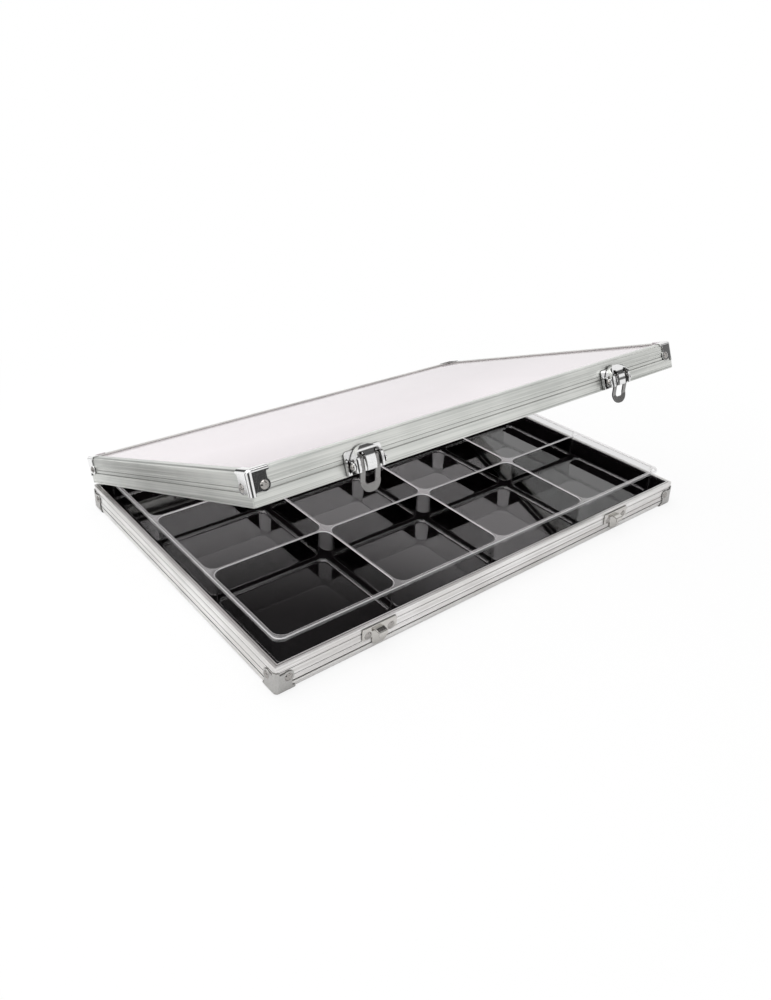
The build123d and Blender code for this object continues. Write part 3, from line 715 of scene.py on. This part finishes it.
# ---- the tray
@dataclass
class CompartmentTray:
    """Tray formed from one clear sheet: a land with a turned-down edge and twelve pockets.

    One pocket is a wall section swept round a rounded rectangle, with its floor filled in. The
    land is a filled sheet with the pockets' mouths left open.
    """

    material: Material
    node: str = "compartment_tray"
    columns: int = 4
    rows: int = 3
    divider: float = 2.0 * MM
    rim: float = 2.6 * MM
    sheet: float = 0.8 * MM
    skirt: float = 2.4 * MM
    outer_corner: float = 6.0 * MM
    pocket_corner: float = 7.0 * MM
    rim_bend: float = 0.85 * MM
    bend_reach: float = 0.9 * MM
    floor_bend: float = 2.4 * MM
    floor_reach: float = 2.8 * MM
    draft: float = math.radians(2.5)
    weld: float = 0.01 * MM
    floor_slack: float = 0.001 * MM
    # Share of the folds' painted highlight that reaches the flat land.
    land_share: float = 0.28
    steps_per_bend: int = 5
    steps_per_corner: int = 9

    def build(self) -> None:
        """Build the tray in its place."""
        low, high = (Vector(corner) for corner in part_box(self.node))
        width, depth, height = high - low
        pocket_width = (width - 2 * self.rim - (self.columns - 1) * self.divider) / self.columns
        pocket_depth = (depth - 2 * self.rim - (self.rows - 1) * self.divider) / self.rows
        drop = height - self.sheet
        lean = drop * math.tan(self.draft)
        middle = Vector(((low.x + high.x) / 2, (low.y + high.y) / 2, high.z))
        values = {
            "Columns": self.columns, "Rows": self.rows,
            "Span Across": (self.columns - 1) * (pocket_width + self.divider),
            "Span Deep": (self.rows - 1) * (pocket_depth + self.divider),
            "Mouth Width": pocket_width + 2 * self.bend_reach,
            "Mouth Depth": pocket_depth + 2 * self.bend_reach,
            "Mouth Corner": self.pocket_corner + self.bend_reach,
            "Land Width": width - 2 * self.bend_reach, "Land Depth": depth - 2 * self.bend_reach,
            "Land Corner": self.outer_corner - self.bend_reach,
            "Rim Bend": self.rim_bend, "Floor Bend": self.floor_bend, "Floor Level": -drop,
            "Wall Top": Vector((-self.bend_reach, 0, 0)),
            "Wall Foot": Vector((-self.bend_reach - lean, drop, 0)),
            "Floor Edge": Vector((-self.bend_reach - lean - self.floor_reach, drop, 0)),
            "Edge Top": Vector((self.bend_reach, 0, 0)),
            "Edge Middle": Vector((self.bend_reach, self.skirt / 2, 0)),
            "Edge Foot": Vector((self.bend_reach, self.skirt, 0)),
            "Middle": middle, "Steps Per Bend": self.steps_per_bend,
            "Steps Per Corner": self.steps_per_corner, "Material": self.material,
        }
        skin = grow(self.node + "_formed", self.build_tree(values), values)
        turn_faces(skin, upward=True)
        thickness = skin.modifiers.new("sheet", "SOLIDIFY")
        thickness.thickness = self.sheet
        thickness.offset = -1.0
        tray = bake(skin)
        keep_flats(tray)
        tray = bake(tray, None)
        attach(tray, Leaf.BASE.body)
        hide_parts(self.node)
        LOG.info("tray formed with %d pockets", self.columns * self.rows)

    def build_tree(self, values: dict) -> NodeTree:
        """Build the tree that makes the upper skin of the tray.

        Args:
            values: The named inputs, which also say what kind each one is.

        Returns:
            The tree.
        """
        sizes = {name: type(value) for name, value in values.items()}
        tree, add, sockets = new_shape("formed tray", sizes | {"Material": Material})
        mouth = self.rounded_rectangle(add, sockets, "Mouth")
        land_edge = self.rounded_rectangle(add, sockets, "Land")
        wall = self.swept_bend(
            add, sockets, mouth, ("Wall Top", "Wall Foot", "Floor Edge"), sockets["Floor Bend"]
        )
        edge = self.swept_bend(
            add, sockets, land_edge, ("Edge Top", "Edge Middle", "Edge Foot"), 0.0
        )
        # The floor fills the open ring at the foot of the wall.
        place = add("GeometryNodeInputPosition")
        level = add("ShaderNodeSeparateXYZ", {0: place}).outputs["Z"]
        at_floor = add(
            "FunctionNodeCompare",
            {"A": level, "B": sockets["Floor Level"], "Epsilon": self.floor_slack},
            data_type="FLOAT", operation="EQUAL",
        )
        neighbours = add("GeometryNodeInputMeshEdgeNeighbors")
        open_edge = add(
            "FunctionNodeCompare", {"A": neighbours, "B": 1.0, "Epsilon": 0.1},
            data_type="FLOAT", operation="EQUAL",
        )
        floor_ring = add("FunctionNodeBooleanMath", {0: at_floor, 1: open_edge}, operation="AND")
        ring = add("GeometryNodeMeshToCurve", {"Mesh": wall, "Selection": floor_ring})
        filled = add("GeometryNodeFillCurve", {0: ring}, mode="NGONS")
        # A filled curve comes out flat at zero, so the floor goes back down.
        down = add("ShaderNodeCombineXYZ", {"Z": sockets["Floor Level"]})
        floor = add("GeometryNodeTransform", {0: filled, "Translation": down})
        pocket = add("GeometryNodeJoinGeometry", {0: [wall, floor]})
        grid = add(
            "GeometryNodeMeshGrid",
            {
                "Size X": sockets["Span Across"], "Size Y": sockets["Span Deep"],
                "Vertices X": sockets["Columns"], "Vertices Y": sockets["Rows"],
            },
        )
        pockets, mouths = (
            add("GeometryNodeInstanceOnPoints", {"Points": grid, "Instance": shape})
            for shape in (pocket, mouth)
        )
        real_pockets, real_mouths = (
            add("GeometryNodeRealizeInstances", {0: copies}) for copies in (pockets, mouths)
        )
        outlines = add("GeometryNodeJoinGeometry", {0: [real_mouths, land_edge]})
        land = add("GeometryNodeFillCurve", {0: outlines}, mode="TRIANGLES")
        whole = add("GeometryNodeJoinGeometry", {0: [real_pockets, land, edge]})
        joined = add("GeometryNodeMergeByDistance", {0: whole, "Distance": self.weld})
        # The bends beside the land are marked, so that the material paints them whiter as a painted
        # highlight for the light a fold gathers.
        from_wall = add(
            "ShaderNodeMapRange", {0: level, 1: -0.9 * self.rim_bend, 2: -0.4 * self.rim_bend}
        )
        to_land = add(
            "ShaderNodeMapRange",
            {0: level, 1: -0.25 * self.rim_bend, 2: 0.0, 3: 1.0, 4: self.land_share},
        )
        fold = add("ShaderNodeMath", {0: from_wall, 1: to_land}, operation="MULTIPLY")
        marked = add(
            "GeometryNodeStoreNamedAttribute", {0: joined, "Name": "fold", "Value": fold},
            data_type="FLOAT", domain="POINT",
        )
        placed = add("GeometryNodeTransform", {0: marked, "Translation": sockets["Middle"]})
        close_shape(add, placed, sockets)
        return tree

    def rounded_rectangle(self, add: Adder, sockets: NodeOutputs, outline: str) -> Node:
        """Add a closed outline with rounded corners.

        Args:
            add: What adds nodes to the tree.
            sockets: Its named inputs.
            outline: First word of the inputs for its width, depth and corner.

        Returns:
            The curve.
        """
        square = add(
            "GeometryNodeCurvePrimitiveQuadrilateral",
            {"Width": sockets[f"{outline} Width"], "Height": sockets[f"{outline} Depth"]},
        )
        rounded = add(
            "GeometryNodeFilletCurve",
            {
                0: square, "Count": sockets["Steps Per Corner"],
                "Radius": sockets[f"{outline} Corner"],
            },
            mode="POLY",
        )
        return add("GeometryNodeSetCurveNormal", {0: rounded}, mode="Z_UP")

    def swept_bend(
        self,
        add: Adder,
        sockets: NodeOutputs,
        path: Node,
        corners: tuple[str, str, str],
        second_bend: NodeSocket | float,
    ) -> Node:
        """Sweep a section that starts on the land and bends down.

        Args:
            add: What adds nodes to the tree.
            sockets: Its named inputs.
            path: Outline that the section follows.
            corners: Inputs for the section's points, whose x runs outward and y downward.
            second_bend: Radius at the second of those points; the first has the rim's.

        Returns:
            The mesh.
        """
        points = {f"Point {i}": sockets[name] for i, name in enumerate(corners, 2)}
        line = add(
            "GeometryNodeCurvePrimitiveQuadrilateral", {"Point 1": (0, 0, 0), **points},
            mode="POINTS",
        )
        opened = add("GeometryNodeSetSplineCyclic", {0: line, "Cyclic": False})
        number = add("GeometryNodeInputIndex")
        later = add("ShaderNodeMath", {0: number, 1: 1.0}, operation="SUBTRACT")
        radius = add(
            "ShaderNodeMix", {0: later, 2: sockets["Rim Bend"], 3: second_bend}, data_type="FLOAT"
        )
        bent = add(
            "GeometryNodeFilletCurve",
            {0: opened, "Count": sockets["Steps Per Bend"], "Radius": radius}, mode="POLY",
        )
        return add("GeometryNodeCurveToMesh", {0: path, 1: bent})


# ---- pressed parts
@dataclass
class PressedPart:
    """Copy of a packed sheet-metal or turned piece with the burr taken off its edges."""

    node: str
    body: str
    material: Material
    slot: str
    edge: float = 0.18 * MM
    weld: float = 0.002 * MM
    flat: float = math.radians(1.5)
    sharp: float = math.radians(28)

    def build(self) -> None:
        """Build the softened piece."""
        shell = bmesh.new()
        shell.from_mesh(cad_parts[self.node].data)
        bmesh.ops.remove_doubles(shell, verts=shell.verts, dist=self.weld)
        bmesh.ops.dissolve_limit(shell, angle_limit=self.flat, verts=shell.verts, edges=shell.edges)
        mesh = bpy.data.meshes.new(self.node)
        shell.to_mesh(mesh)
        shell.free()
        mesh.shade_smooth()
        piece = new_piece(self.node + "_softened", mesh)
        bevel = piece.modifiers.new("broken edges", "BEVEL")
        bevel.width = self.edge
        bevel.segments = 2
        bevel.limit_method = "ANGLE"
        bevel.angle_limit = self.sharp
        bevel.use_clamp_overlap = True
        keep_flats(piece)
        piece = bake(piece, None)
        dress(piece, self.material)
        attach(piece, self.body)
        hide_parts(self.node)


# ---- the case
@dataclass
class Frames:
    """The rails of base and lid with their corner caps and corner rivets."""

    finishes: Finishes
    setter: RivetSetter
    rivet: Rivet = Rivet(2.6 * MM, 1.2 * MM, 1.5 * MM, 2.7 * MM)
    cap_sheet: float = 0.8 * MM
    rivet_along: float = 8.2 * MM
    rivet_down: float = 9.1 * MM
    lid_height: float = 19.8 * MM

    def build(self) -> None:
        """Dress the rails and make the caps and rivets."""
        low, high = (Vector(corner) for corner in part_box("base_rail_front"))
        half_width, half_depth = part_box("base_rail_right")[1][0], -low.y
        inner_x, inner_y = half_width - self.rivet_along, half_depth - self.rivet_along
        outer_x, outer_y = half_width + self.cap_sheet, half_depth + self.cap_sheet
        lid_top = high.z + PARTING + self.lid_height
        for leaf, height, finish, slot in (
            (Leaf.BASE, low.z + self.rivet_down, self.finishes.satin, "matt_steel_cap"),
            (Leaf.LID, lid_top - self.rivet_down, self.finishes.chrome, "bright_steel_cap"),
        ):
            for side in ("front", "back", "left", "right"):
                grain = Grain.ALONG_FRONT if side in ("front", "back") else Grain.ALONG_SIDE
                dress(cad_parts[f"{leaf.body}_rail_{side}"], self.finishes.rail(leaf, grain))
            spots = []
            for y, name in ((-1, "front"), (1, "back")):
                for hand in Hand:
                    x, node = hand.value, f"{leaf.body}_corner_cap_{name}_{hand.name.lower()}"
                    PressedPart(node, leaf.body, finish, slot).build()
                    spots += [
                        (Vector((x * inner_x, y * outer_y, height)), Vector((0, y, 0))),
                        (Vector((x * outer_x, y * inner_y, height)), Vector((x, 0, 0))),
                    ]
            self.setter.set(self.rivet, leaf, spots, f"{leaf.body}_corner_rivets")
        LOG.info("frames dressed")


@dataclass
class Boards:
    """The clear panel, the bottom board and the black linings."""

    finishes: Finishes

    def build(self) -> None:
        """Dress them."""
        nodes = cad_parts
        dress(nodes["lid_panel"], self.finishes.panel)
        dress(nodes["bottom_panel"], self.finishes.board)
        for name, piece in nodes.items():
            if "lining" in name:
                dress(piece, self.finishes.lining)
        LOG.info("boards dressed")


@dataclass
class Hinges:
    """Two butt hinges across the back."""

    finishes: Finishes
    setter: RivetSetter
    rivet: Rivet = Rivet(2.0 * MM, 0.9 * MM, 1.0 * MM, 2.9 * MM, domed=False)
    spacing: float = 220.0 * MM
    rivet_spacing: float = 20.0 * MM
    rivet_drop: float = 8.0 * MM
    leaf_sheet: float = 1.0 * MM
    leaf_edge: float = 0.12 * MM

    def build(self) -> None:
        """Make the leaves and rivets, and dress the pins."""
        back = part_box("base_rail_back")[1][1]
        for leaf, up in ((Leaf.BASE, -1), (Leaf.LID, 1)):
            spots = []
            for hand in Hand:
                node = f"hinge_{leaf.body}_leaf_{hand.name.lower()}"
                PressedPart(
                    node, leaf.body, self.finishes.chrome, "bright_steel", self.leaf_edge
                ).build()
                for end in (-1, 1):
                    across = hand.value * self.spacing / 2 + end * self.rivet_spacing / 2
                    place = Vector((across, back + self.leaf_sheet, HINGE.z + up * self.rivet_drop))
                    spots.append((place, Vector((0, 1, 0))))
            self.setter.set(self.rivet, leaf, spots, f"hinge_{leaf.body}_rivets")
        for hand in Hand:
            dress(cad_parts[f"hinge_pin_{hand.name.lower()}"], self.finishes.rivet)
        LOG.info("hinges made")


@dataclass
class DrawLatches:
    """Two draw latches: plate and lever with a wire-edged loop on the lid, catch on the base."""

    finishes: Finishes
    setter: RivetSetter
    plate_rivet: Rivet = Rivet(2.0 * MM, 0.8 * MM, 1.0 * MM, 2.9 * MM, domed=False)
    stub_rivet: Rivet = Rivet(1.75 * MM, 1.0 * MM, 0.9 * MM, 2.3 * MM)
    catch_rivet: Rivet = Rivet(2.7 * MM, 0.9 * MM, 1.0 * MM, 2.8 * MM)
    spacing: float = 225.4 * MM
    plate_rivet_spacing: float = 8.0 * MM
    plate_rivet_height: float = 11.8 * MM
    plate_sheet: float = 1.0 * MM
    stub_reach: float = 11.5 * MM
    pivot_depth: float = 4.7 * MM
    pivot_height: float = 5.4 * MM
    catch_rivet_spacing: float = 17.4 * MM
    catch_rivet_drop: float = 6.6 * MM
    catch_sheet: float = 0.9 * MM

    def build(self) -> None:
        """Make both latches and their catches."""
        low, high = (Vector(corner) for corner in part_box("base_rail_front"))
        front, rim, edge = low.y, high.z, high.z + PARTING
        outward = Vector((0, -1, 0))
        plate_spots, catch_spots = [], []
        for hand in Hand:
            name, middle, kind = hand.name.lower(), hand.value * self.spacing / 2, self.finishes
            for node, body, finish in (
                (f"latch_plate_{name}", "lid", kind.chrome),
                (f"latch_lever_{name}", f"lever_{name}", kind.chrome),
                (f"latch_loop_{name}", f"loop_{name}", kind.nickel),
                (f"catch_plate_{name}", "base", kind.zinc),
            ):
                PressedPart(node, body, finish, "bright_steel").build()
            dress(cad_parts[f"latch_loop_pin_{name}"], kind.rivet)
            pivot = Vector((middle, front - self.pivot_depth, edge + self.pivot_height))
            stub_spots = []
            for end in (-1, 1):
                for spots, spacing, sheet, height in (
                    (plate_spots, self.plate_rivet_spacing, self.plate_sheet,
                     edge + self.plate_rivet_height),
                    (catch_spots, self.catch_rivet_spacing, self.catch_sheet,
                     rim - self.catch_rivet_drop),
                ):
                    across = middle + end * spacing / 2
                    spots.append((Vector((across, front - sheet, height)), outward))
                reach = Vector((end * self.stub_reach, 0, 0))
                stub_spots.append((pivot + reach, Vector((end, 0, 0))))
            self.setter.set(self.stub_rivet, Leaf.LID, stub_spots, f"latch_stub_rivets_{name}")
        self.setter.set(self.plate_rivet, Leaf.LID, plate_spots, "latch_plate_rivets")
        self.setter.set(self.catch_rivet, Leaf.BASE, catch_spots, "catch_rivets")
        LOG.info("latches made")


# ---- the studio
@dataclass(frozen=True)
class DarkPatch:
    """A dark part of the room that only shiny surfaces show, with its radii in degrees."""

    direction: tuple[float, float, float]
    inner: float
    outer: float
    depth: float


@dataclass(frozen=True)
class DarkCard:
    """A dark sheet on the floor that only shiny surfaces show."""

    low: tuple[float, float]
    high: tuple[float, float]
    fade: float = 15 * MM


@dataclass(frozen=True)
class Softbox:
    """A square soft lamp that points at the object."""

    name: str
    place: tuple[float, float, float]
    size: float
    power: float


@dataclass
class Studio:
    """Floor, lamps, surroundings and camera."""

    eye: Vector = field(default_factory=lambda: Vector((-380.3, -447.7, 338.0)) * MM)
    azimuth: float = math.radians(-39.532)
    elevation: float = math.radians(23.406)
    roll: float = math.radians(2.126)
    lens: float = 30.951
    sensor: float = 36.0
    shift: tuple[float, float] = (0.00273, -0.09436)
    clip_start: float = 10 * MM
    floor_size: float = 12.0
    floor_drop: float = 0.05 * MM
    floor_tone: str = "#f8f8f8"
    card_tone: str = "#727171"
    shadow_reach: tuple[float, float] = (0.25, 0.5)
    shadow_share: float = 0.16
    mirror_reach: tuple[float, float] = (0.45, 0.8)
    room_strength: float = 0.62
    aim: Vector = field(default_factory=lambda: Vector((0, 0, 0.05)))
    lamps: tuple[Softbox, ...] = (
        Softbox("overhead softbox", (-0.25, 0.25, 1.3), 1.4, 11.0),
        Softbox("left softbox", (-1.4, -0.2, 0.8), 1.0, 3.0),
    )
    cards: tuple[DarkCard, ...] = (
        DarkCard((-0.3, -0.02), (-0.215, 0.28)),
        DarkCard((-0.62, -0.3), (-0.4, 0.2)),
    )
    patches: tuple[DarkPatch, ...] = (
        DarkPatch((0.43, -0.895, 0.127), 4.0, 7.0, 0.95),
        DarkPatch((0.81, -0.58, 0.09), 4.0, 7.0, 0.85),
        DarkPatch((-0.69, -0.72, 0.12), 17.0, 24.0, 0.93),
        DarkPatch((-0.95, 0.05, 0.25), 12.0, 20.0, 0.9),
        DarkPatch((-0.12, 0.957, 0.26), 14.0, 34.0, 0.92),
        DarkPatch((0.56, -0.5, 0.66), 6.0, 11.0, 0.9),
        DarkPatch((0.51, -0.26, 0.82), 7.0, 11.0, 0.9),
        DarkPatch((0.77, -0.42, 0.48), 6.0, 11.0, 0.9),
        DarkPatch((0.3, 0.45, 0.84), 20.0, 27.0, 0.9),
    )

    def build(self) -> None:
        """Build all of it."""
        self.build_floor()
        self.build_lamps()
        self.build_world()
        self.build_camera()

    def build_floor(self) -> None:
        """Lay a plain white floor that keeps the object's shadow near it."""
        bpy.ops.mesh.primitive_plane_add(size=self.floor_size, location=(0, 0, -self.floor_drop))
        floor = bpy.context.object
        floor.name = "floor"
        material, add, place = new_material("pale studio floor")
        path = add("ShaderNodeLightPath").outputs
        reach = add("ShaderNodeVectorMath", {0: place}, operation="LENGTH")
        seen = []
        for ray, (near, far), least in (
            ("Is Camera Ray", self.shadow_reach, 1 - self.shadow_share),
            ("Is Glossy Ray", self.mirror_reach, 0.0),
        ):
            plain = add(
                "ShaderNodeMapRange",
                {0: reach.outputs["Value"], 1: near, 2: far, 3: least, 4: 1.0},
                interpolation_type="SMOOTHSTEP",
            )
            seen.append(add("ShaderNodeMath", {0: path[ray], 1: plain}, operation="MULTIPLY"))
        share = add("ShaderNodeMath", dict(enumerate(seen)), operation="ADD")
        colour = linear(self.floor_tone)
        for card in self.cards:
            low, high = Vector((*card.low, 0)), Vector((*card.high, 0))
            aside = add(
                "ShaderNodeVectorMath", {0: place, 1: (low + high) / 2}, operation="SUBTRACT"
            )
            off = add("ShaderNodeVectorMath", {0: aside}, operation="ABSOLUTE")
            beyond = add(
                "ShaderNodeVectorMath", {0: off, 1: (high - low) / 2}, operation="SUBTRACT"
            )
            ways = add("ShaderNodeSeparateXYZ", {0: beyond}).outputs
            furthest = add("ShaderNodeMath", {0: ways["X"], 1: ways["Y"]}, operation="MAXIMUM")
            inside = add("ShaderNodeMapRange", {0: furthest, 1: -card.fade, 2: 0.0, 3: 1.0, 4: 0.0})
            on_card = add(
                "ShaderNodeMath", {0: inside, 1: path["Is Glossy Ray"]}, operation="MULTIPLY"
            )
            colour = add(
                "ShaderNodeMix", {0: on_card, 6: colour, 7: linear(self.card_tone)},
                data_type="RGBA",
            ).outputs[2]
        paint = add("ShaderNodeBsdfDiffuse", {0: colour})
        glow = add("ShaderNodeEmission", {0: WHITE, 1: 1.0})
        mixed = add("ShaderNodeMixShader", {0: share, 1: paint, 2: glow})
        add("ShaderNodeOutputMaterial", {0: mixed})
        dress(floor, material)

    def build_lamps(self) -> None:
        """Hang the soft lamps."""
        for softbox in self.lamps:
            lamp = bpy.data.lights.new(softbox.name, "AREA")
            lamp.shape = "SQUARE"
            lamp.size = softbox.size
            lamp.energy = softbox.power
            holder = bpy.data.objects.new(softbox.name, lamp)
            bpy.context.scene.collection.objects.link(holder)
            holder.location = softbox.place
            way = self.aim - Vector(softbox.place)
            holder.rotation_euler = way.to_track_quat("-Z", "Y").to_euler()

    def build_world(self) -> None:
        """Surround the object with a pale room whose dark parts only shiny surfaces show."""
        world = bpy.data.worlds.new("pale room")
        bpy.context.scene.world = world
        world.use_nodes = True
        world.node_tree.nodes.clear()
        add = partial(add_node, world.node_tree)
        outlook = add("ShaderNodeTexCoord").outputs["Generated"]
        brightness = 1.0
        for patch in self.patches:
            along = add(
                "ShaderNodeVectorMath",
                {0: outlook, 1: Vector(patch.direction).normalized()}, operation="DOT_PRODUCT",
            )
            rim, core = (math.cos(math.radians(angle)) for angle in (patch.outer, patch.inner))
            left = add(
                "ShaderNodeMapRange",
                {0: along.outputs["Value"], 1: rim, 2: core, 3: 1.0, 4: 1 - patch.depth},
                interpolation_type="SMOOTHSTEP",
            )
            brightness = add("ShaderNodeMath", {0: brightness, 1: left}, operation="MULTIPLY")
        path = add("ShaderNodeLightPath").outputs
        room, shiny, white = (
            add("ShaderNodeBackground", {0: WHITE, 1: strength})
            for strength in (self.room_strength, brightness, 1.0)
        )
        lit = add("ShaderNodeMixShader", {0: path["Is Glossy Ray"], 1: room, 2: shiny})
        mixed = add("ShaderNodeMixShader", {0: path["Is Camera Ray"], 1: lit, 2: white})
        add("ShaderNodeOutputWorld", {0: mixed})

    def build_camera(self) -> None:
        """Stand the camera at its place."""
        lens = bpy.data.cameras.new("camera")
        lens.lens = self.lens
        lens.sensor_width = self.sensor
        lens.sensor_fit = "AUTO"
        lens.shift_x, lens.shift_y = self.shift
        lens.clip_start = self.clip_start
        camera = bpy.data.objects.new("camera", lens)
        bpy.context.scene.collection.objects.link(camera)
        level = math.cos(self.elevation)
        back = Vector((math.sin(self.azimuth) * level, -math.cos(self.azimuth) * level, 0))
        back.z = math.sin(self.elevation)
        right = (-back).cross(Vector((0, 0, 1))).normalized()
        up = back.cross(right)
        turned_right = right * math.cos(self.roll) + up * math.sin(self.roll)
        turned_up = up * math.cos(self.roll) - right * math.sin(self.roll)
        matrix = Matrix((turned_right, turned_up, back)).transposed().to_4x4()
        matrix.translation = self.eye
        camera.matrix_world = matrix
        bpy.context.scene.camera = camera


def main() -> None:
    """Build the looks in order."""
    logging.basicConfig(level=logging.INFO)
    finishes = Finishes()
    setter = RivetSetter(finishes.rivet)
    Frames(finishes, setter).build()
    Boards(finishes).build()
    CompartmentTray(finishes.formed).build()
    Hinges(finishes, setter).build()
    DrawLatches(finishes, setter).build()
    Studio().build()
    bpy.context.scene.view_settings.view_transform = "Standard"


if __name__ == "__main__":
    main()
